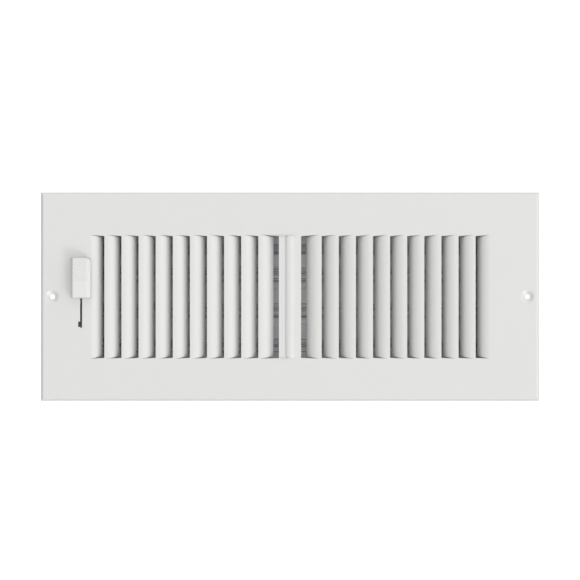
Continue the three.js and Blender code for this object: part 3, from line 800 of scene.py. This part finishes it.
def build_shutter(damper, row):
    """A ribbed shutter with folded hems, its crank on the left and an ear on the right"""
    y, z = pivot_of(row)
    low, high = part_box(f"{row}_shutter")
    link_low, link_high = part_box(f"{row}_link_pin")
    link = ((link_low.y + link_high.y) / 2, (link_low.z + link_high.z) / 2)
    middle = damper.ear_sheet / 2
    upper = high.z - z - damper.shutter_sheet / 2
    lower = z - low.z - damper.shutter_sheet / 2
    bm = bmesh.new()
    path = shutter_path(damper, upper, lower)
    start = low.x + damper.shutter_sheet
    step = Vector((high.x - low.x - 2 * damper.shutter_sheet, 0, 0))
    extruded_path(bm, [(start, y - forward, z + rise) for forward, rise in path], step)
    bevel_creases(bm, damper.fold_radius, 3, 12)
    piece = new_piece(f"{row}_shutter_sheet", bm)
    thicken(piece, damper.shutter_sheet, 0)
    soften(piece, damper.shutter_edge)

    ears = bmesh.new()
    join_bmesh(ears, ear(damper, low.x + middle, (y, z), link))
    join_bmesh(ears, ear(damper, high.x - middle, (y, z)))
    ear_piece = new_piece(f"{row}_shutter_ears", ears)
    thicken(ear_piece, damper.ear_sheet, 0)
    soften(ear_piece, SHEET_EDGE)
    return seat_joined(piece, ear_piece, f"{row}_shutter")


def seat_joined(piece, other, node):
    """Bakes both pieces' modifiers, joins their meshes and seats the result"""
    depsgraph = bpy.context.evaluated_depsgraph_get()
    bm = bmesh.new()
    for part in (piece, other):
        mesh = bpy.data.meshes.new_from_object(part.evaluated_get(depsgraph), depsgraph=depsgraph)
        bm.from_mesh(mesh)
        bpy.data.meshes.remove(mesh)
    name = piece.name
    for part in (piece, other):
        bpy.data.objects.remove(part)
    return seat(new_piece(name, bm), node)


# ---------------------------------------------------------- turned fittings


def turned_piece(fitting, node, profile, centre, axis):
    """A turned piece in the node's place"""
    bm = bmesh.new()
    turned(bm, profile, centre, axis, fitting.turn_steps)
    return seat(new_piece(f"{node}_body", bm), node)


def middle_of(node):
    """The middle, low and high corners of a node's box"""
    low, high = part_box(node)
    return (low + high) / 2, low, high


def build_rivet(fitting, node, up):
    """A domed head outside the rail and a set tail under the flange"""
    centre, low, high = middle_of(node)
    head = (high.x - low.x) / 2
    span = high.z - low.z
    crown = fitting.rivet_head
    under = span - crown
    profile = [
        (0, 0), (head * 0.55, 0), (head * 0.74, 1.5 * RIVET_RIM), (head * 0.8, crown),
        (fitting.rivet_radius, crown), (fitting.rivet_radius, under),
        (head * 0.97, under), (head, under + 0.6 * RIVET_RIM),
    ]
    profile += domed(head, under + RIVET_RIM, crown - RIVET_RIM)[:-1] + [(0, span)]
    base = Vector((centre.x, centre.y, low.z if up > 0 else high.z))
    turned_piece(fitting, node, profile, base, (0, 0, up))


def build_pivot_pin(fitting, node, side):
    """A pin with a chamfered head inside the ear; the left ones have a shoulder"""
    centre, low, high = middle_of(node)
    head = (high.y - low.y) / 2
    span = high.x - low.x
    pin = fitting.pin_radius
    top = fitting.head_height
    profile = [(0, 0), (head - HEAD_CHAMFER, 0), (head, HEAD_CHAMFER), (head, top), (pin, top)]
    if side < 0:
        ear_low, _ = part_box("middle_shutter")
        start = high.x - ear_low.x + FIT_GAP
        _, bushing_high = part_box("middle_left_bushing")
        finish = high.x - bushing_high.x - FIT_GAP
        collar = pin + fitting.shoulder_rim
        profile += [(pin, start), (collar, start), (collar, finish), (pin, finish)]
    profile += [(pin, span - TIP_CHAMFER), (pin - TIP_CHAMFER, span), (0, span)]
    base = Vector((low.x if side > 0 else high.x, centre.y, centre.z))
    turned_piece(fitting, node, profile, base, (side, 0, 0))


def build_bushing(fitting, node, side):
    """A snap-in bushing: flange inside, barb outside"""
    centre, low, high = middle_of(node)
    flange = (high.y - low.y) / 2
    span = high.x - low.x
    bore = fitting.pin_radius + FIT_GAP
    body = bore + fitting.bushing_wall
    rim = fitting.bushing_flange
    barb = span - fitting.bushing_barb
    edge = LINK_CHAMFER
    profile = [
        (bore, edge), (bore + edge, 0), (flange - HEAD_CHAMFER, 0), (flange, HEAD_CHAMFER),
        (flange, rim), (body, rim), (body, barb), (body + fitting.barb_rim, barb),
        (body, span), (bore + edge, span), (bore, span - edge), (bore, edge),
    ]
    base = Vector((low.x if side > 0 else high.x, centre.y, centre.z))
    turned_piece(fitting, node, profile, base, (side, 0, 0))


def build_link_pin(fitting, node):
    """A short pin with a head at each end"""
    centre, low, high = middle_of(node)
    head = (high.y - low.y) / 2
    span = high.x - low.x
    pin = fitting.link_radius
    top = fitting.head_height
    edge = LINK_CHAMFER
    profile = [(0, 0), (head - edge, 0), (head, edge), (head, top), (pin, top)]
    profile += [(radius, span - height) for radius, height in reversed(profile)]
    base = Vector((low.x, centre.y, centre.z))
    turned_piece(fitting, node, profile, base, (1, 0, 0))


def build_link_spacer(fitting, node):
    """A nylon sleeve with broken edges"""
    centre, low, high = middle_of(node)
    outside = (high.y - low.y) / 2
    span = high.x - low.x
    bore = fitting.link_radius + FIT_GAP
    edge = SPACER_CHAMFER
    profile = [
        (bore, edge), (bore + edge, 0), (outside - edge, 0), (outside, edge),
        (outside, span - edge), (outside - edge, span), (bore + edge, span), (bore, span - edge),
        (bore, edge),
    ]
    base = Vector((low.x, centre.y, centre.z))
    turned_piece(fitting, node, profile, base, (1, 0, 0))


# ---------------------------------------------------------- bar and knob


def build_control_bar():
    """The stamped bar: a merged copy of its frame node with softened edges"""
    bm = bmesh.new()
    bm.from_mesh(frame["nodes"]["control_bar"].data)
    bmesh.ops.remove_doubles(bm, verts=bm.verts, dist=TOLERANCE)
    bmesh.ops.dissolve_limit(
        bm, angle_limit=math.radians(1), verts=bm.verts, edges=bm.edges,
    )
    bmesh.ops.recalc_face_normals(bm, faces=bm.faces)
    piece = new_piece("control_bar_stamping", bm)
    soften(piece, SHEET_EDGE)
    return seat(piece, "control_bar")


def knob_block(knob, low, high, draft):
    """The knob's drafted body, with a sloping shoulder along the side near the louvres"""
    bm = bmesh.new()
    corners = [(low.x, low.z), (high.x, low.z), (high.x, high.z), (low.x, high.z)]
    base = bm.faces.new([bm.verts.new((x, high.y, z)) for x, z in corners])
    side_slope = (draft - knob.lean) / (high.y - low.y)
    end_slope = draft / 4 / (high.y - low.y)
    centre = (low + high) / 2
    ring = [base]
    for y in (low.y + knob.shoulder, low.y):
        made = bmesh.ops.extrude_face_region(bm, geom=ring)["geom"]
        covered = [face for face in ring if face is not base]
        bmesh.ops.delete(bm, geom=covered, context="FACES_ONLY")
        ring = [item for item in made if isinstance(item, bmesh.types.BMFace)]
        for vert in {vert for face in ring for vert in face.verts}:
            step = vert.co.y - y
            if vert.co.x < centre.x:
                vert.co.x += side_slope * step
            elif y == low.y:
                vert.co.x -= draft + knob.lean
            vert.co.z += end_slope * step if vert.co.z < centre.z else -end_slope * step
            vert.co.y = y
    bmesh.ops.recalc_face_normals(bm, faces=bm.faces)
    return bm


def round_knob(bm, knob, corner, high):
    """Rounds one corner of the knob, then every edge but those at its base"""
    bmesh.ops.bevel(
        bm, geom=corner, offset=knob.corner, offset_type="OFFSET", segments=8, profile=0.5,
        affect="EDGES", material=-1,
    )
    outer = [
        edge for edge in bm.edges
        if not all(near(v.co.y, high.y) for v in edge.verts)
        and edge.calc_face_angle() > math.radians(25)
    ]
    bmesh.ops.bevel(
        bm, geom=outer, offset=knob.edge, offset_type="OFFSET", segments=3, profile=0.5,
        affect="EDGES", material=-1,
    )


def cut_ribs(bm, knob, front, top):
    """Presses level grooves into the front of the knob, from the top down"""
    for i in range(knob.rib_count):
        z = top - i * knob.rib_pitch
        for level in (z - knob.rib_depth, z, z + knob.rib_depth):
            grip = [face for face in bm.faces if face.normal.y < -0.3]
            cut(bm, grip, Vector((0, 0, level)), Vector((0, 0, 1)))
        for vert in bm.verts:
            if near(vert.co.z, z) and vert.co.y < front + knob.edge:
                vert.co.y += knob.rib_depth


def sink_pocket(bm, knob, x, z):
    """Sinks the pocket for the control bar's tongue into the back of the knob"""
    half_x = knob.pocket_width / 2
    half_z = knob.pocket_height / 2
    planes = [(Vector((x + edge, 0, 0)), Vector((1, 0, 0))) for edge in (-half_x, half_x)]
    planes += [(Vector((0, 0, z + edge)), Vector((0, 0, 1))) for edge in (-half_z, half_z)]
    for place, normal in planes:
        cut(bm, [face for face in bm.faces if face.normal.y > 0.9], place, normal)
    mouth = [
        face for face in faces_in(bm, x - half_x, x + half_x, z - half_z, z + half_z)
        if face.normal.y > 0.9
    ]
    made = bmesh.ops.extrude_face_region(bm, geom=mouth)["geom"]
    floor = [item for item in made if isinstance(item, bmesh.types.BMVert)]
    bmesh.ops.translate(bm, verts=floor, vec=(0, -knob.pocket_depth, 0))
    bmesh.ops.delete(bm, geom=mouth, context="FACES_ONLY")


def build_knob(knob):
    """The drafted knob with a ribbed grip, one rounded corner and a pocket behind"""
    low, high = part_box("knob")
    centre = (low.x + high.x) / 2
    draft = (high.x - low.x - knob.front_width) / 2
    bm = knob_block(knob, low, high, draft)
    corner = [
        edge for edge in bm.edges
        if all(v.co.x > centre and v.co.z > high.z - draft for v in edge.verts)
    ]
    round_knob(bm, knob, corner, high)
    cut_ribs(bm, knob, low.y, high.z - draft / 4 - knob.rib_pitch * 0.75)
    sink_pocket(bm, knob, centre, low.z + knob.pocket_rise)
    return seat(new_piece("knob_moulding", bm), "knob")


# ------------------------------------------------------------------- stage


LENS = 212.4  # millimetres, on a 36 mm sensor
CAMERA_PLACE = Vector((0, -2.405, 0.0047))
KEY_PLACE = Vector((0.7, -1.0, -0.8))  # in front, to the right and below
FLOOR_SIZE = 1.5  # half its width
FLOOR_HEIGHT = -0.35


def aimed(location, direction):
    """A matrix at the location whose -Z looks along the direction"""
    turn = Vector(direction).to_track_quat("-Z", "Y").to_matrix().to_4x4()
    return Matrix.Translation(location) @ turn


def add_light(name, kind, energy, matrix, **settings):
    data = bpy.data.lights.new(name, kind)
    data.energy = energy
    for key, value in settings.items():
        setattr(data, key, value)
    light = bpy.data.objects.new(name, data)
    light.matrix_world = matrix
    light.visible_camera = False
    bpy.context.scene.collection.objects.link(light)
    return light


def build_floor():
    """A pale floor well below the grille"""
    bm = bmesh.new()
    place = Matrix.Translation((0, 0, FLOOR_HEIGHT))
    bmesh.ops.create_grid(bm, x_segments=1, y_segments=1, size=FLOOR_SIZE, matrix=place)
    floor = new_piece("floor", bm)
    material, tree, shader, add = new_finish("pale_floor")
    shader.inputs["Base Color"].default_value = (0.85, 0.85, 0.85, 1)
    tree.links.new(
        ranged(tree, add, object_noise(tree, add, 30.0), 0.55, 0.7), shader.inputs["Roughness"],
    )
    floor.data.materials.append(material)
    floor.visible_shadow = False


def build_world(seen, level, lean, least=0.04):
    """A white surround to the camera, and a softer light that is stronger along the lean"""
    world = bpy.data.worlds.new("studio")
    world.use_nodes = True
    nodes = world.node_tree.nodes
    links = world.node_tree.links
    nodes.clear()
    place = nodes.new("ShaderNodeTexCoord")
    along = nodes.new("ShaderNodeVectorMath")
    along.operation = "DOT_PRODUCT"
    along.inputs[1].default_value = lean
    total = nodes.new("ShaderNodeMath")
    total.operation = "ADD"
    total.inputs[1].default_value = level
    strength = nodes.new("ShaderNodeMath")
    strength.operation = "MAXIMUM"
    strength.inputs[1].default_value = least
    light = nodes.new("ShaderNodeBackground")
    surround = nodes.new("ShaderNodeBackground")
    for background in (light, surround):
        background.inputs["Color"].default_value = (1, 1, 1, 1)
    surround.inputs["Strength"].default_value = seen
    path = nodes.new("ShaderNodeLightPath")
    mix = nodes.new("ShaderNodeMixShader")
    output = nodes.new("ShaderNodeOutputWorld")
    links.new(place.outputs["Generated"], along.inputs[0])
    links.new(along.outputs["Value"], total.inputs[0])
    links.new(total.outputs[0], strength.inputs[0])
    links.new(strength.outputs[0], light.inputs["Strength"])
    links.new(path.outputs["Is Camera Ray"], mix.inputs[0])
    links.new(light.outputs[0], mix.inputs[1])
    links.new(surround.outputs[0], mix.inputs[2])
    links.new(mix.outputs[0], output.inputs["Surface"])
    bpy.context.scene.world = world


def build_camera():
    """A long lens square to the face"""
    data = bpy.data.cameras.new("camera")
    data.lens = LENS
    data.sensor_width = 36
    data.clip_end = 50
    camera = bpy.data.objects.new("camera", data)
    camera.matrix_world = aimed(CAMERA_PLACE, (0, 1, 0))
    bpy.context.scene.collection.objects.link(camera)
    bpy.context.scene.camera = camera


# --------------------------------------------------------------- operators


class GRILLE_OT_face_plate(bpy.types.Operator):
    """Models the pressed face: louvres, bead, dimples, slot and folded rim"""

    bl_idname = "grille.face_plate"
    bl_label = "Face plate"

    def execute(self, context):
        build_face_plate(context.scene.grille_face)
        return {"FINISHED"}


class GRILLE_OT_damper_box(bpy.types.Operator):
    """Models the folded rails and end plates of the damper box"""

    bl_idname = "grille.damper_box"
    bl_label = "Damper box"

    def execute(self, context):
        damper = context.scene.grille_damper
        for name, up in (("top", 1), ("bottom", -1)):
            build_rail(damper, name, up)
        for name, side in SIDES:
            build_end_plate(damper, name, side)
        return {"FINISHED"}


class GRILLE_OT_shutters(bpy.types.Operator):
    """Models the three ribbed shutters with their hems and ears"""

    bl_idname = "grille.shutters"
    bl_label = "Shutters"

    def execute(self, context):
        for row in ROWS:
            build_shutter(context.scene.grille_damper, row)
        return {"FINISHED"}


class GRILLE_OT_rivets(bpy.types.Operator):
    """Turns the rivets that hold the rails to the end plates"""

    bl_idname = "grille.rivets"
    bl_label = "Rivets"

    def execute(self, context):
        for name, up in (("top", 1), ("bottom", -1)):
            for side_name, _ in SIDES:
                for place in ("front", "rear"):
                    node = f"rivet_{name}_{side_name}_{place}"
                    build_rivet(context.scene.grille_fittings, node, up)
        return {"FINISHED"}


class GRILLE_OT_pivots(bpy.types.Operator):
    """Turns the pivot pins and the nylon bushings they run in"""

    bl_idname = "grille.pivots"
    bl_label = "Pivots"

    def execute(self, context):
        fitting = context.scene.grille_fittings
        for row in ROWS:
            for name, side in SIDES:
                build_pivot_pin(fitting, f"{row}_{name}_pivot_pin", side)
                build_bushing(fitting, f"{row}_{name}_bushing", side)
        return {"FINISHED"}


class GRILLE_OT_linkage(bpy.types.Operator):
    """Models the control bar, the link pins and their spacers"""

    bl_idname = "grille.linkage"
    bl_label = "Control linkage"

    def execute(self, context):
        fitting = context.scene.grille_fittings
        build_control_bar()
        for row in ROWS:
            build_link_pin(fitting, f"{row}_link_pin")
            build_link_spacer(fitting, f"{row}_link_spacer")
        return {"FINISHED"}


class GRILLE_OT_knob(bpy.types.Operator):
    """Models the ribbed control knob"""

    bl_idname = "grille.knob"
    bl_label = "Knob"

    def execute(self, context):
        build_knob(context.scene.grille_knob)
        return {"FINISHED"}


class GRILLE_OT_stage(bpy.types.Operator):
    """Adds the floor, the soft studio light and the camera"""

    bl_idname = "grille.stage"
    bl_label = "Stage"

    def execute(self, context):
        context.scene.view_settings.view_transform = "Standard"
        build_camera()
        build_world(seen=1.05, level=0.51, lean=(0.30, -0.38, 0.36))
        build_floor()
        add_light("key", "SUN", 0.74, aimed(KEY_PLACE, -KEY_PLACE), angle=math.radians(22))
        return {"FINISHED"}


STEPS = (
    GRILLE_OT_stage,
    GRILLE_OT_face_plate,
    GRILLE_OT_damper_box,
    GRILLE_OT_shutters,
    GRILLE_OT_rivets,
    GRILLE_OT_pivots,
    GRILLE_OT_linkage,
    GRILLE_OT_knob,
)


class GRILLE_PT_sidebar(bpy.types.Panel):
    """Lists the pieces of the grille with their sizes and colours"""

    bl_label = "Air Grille"
    bl_space_type = "VIEW_3D"
    bl_region_type = "UI"
    bl_category = "Air Grille"

    def draw(self, context):
        layout = self.layout
        for step in STEPS:
            layout.operator(step.bl_idname)
        for name in SETTINGS:
            group = getattr(context.scene, name)
            box = layout.box()
            box.label(text=name.replace("grille_", "").capitalize())
            for key in group.bl_rna.properties.keys():
                if key not in {"rna_type", "name"}:
                    box.prop(group, key)


SETTINGS = {
    "grille_face": GrilleFaceSettings,
    "grille_damper": GrilleDamperSettings,
    "grille_fittings": GrilleFittingSettings,
    "grille_knob": GrilleKnobSettings,
    "grille_finish": GrilleFinishSettings,
}


def register():
    for cls in (*SETTINGS.values(), *STEPS, GRILLE_PT_sidebar):
        bpy.utils.register_class(cls)
    for name, cls in SETTINGS.items():
        setattr(bpy.types.Scene, name, PointerProperty(type=cls))


def unregister():
    for name in SETTINGS:
        delattr(bpy.types.Scene, name)
    for cls in (GRILLE_PT_sidebar, *reversed(STEPS), *reversed(SETTINGS.values())):
        bpy.utils.unregister_class(cls)


def main():
    """Builds everything"""
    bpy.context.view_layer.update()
    register()
    for step in STEPS:
        category, name = step.bl_idname.split(".")
        getattr(getattr(bpy.ops, category), name)()


if __name__ == "__main__":
    main()
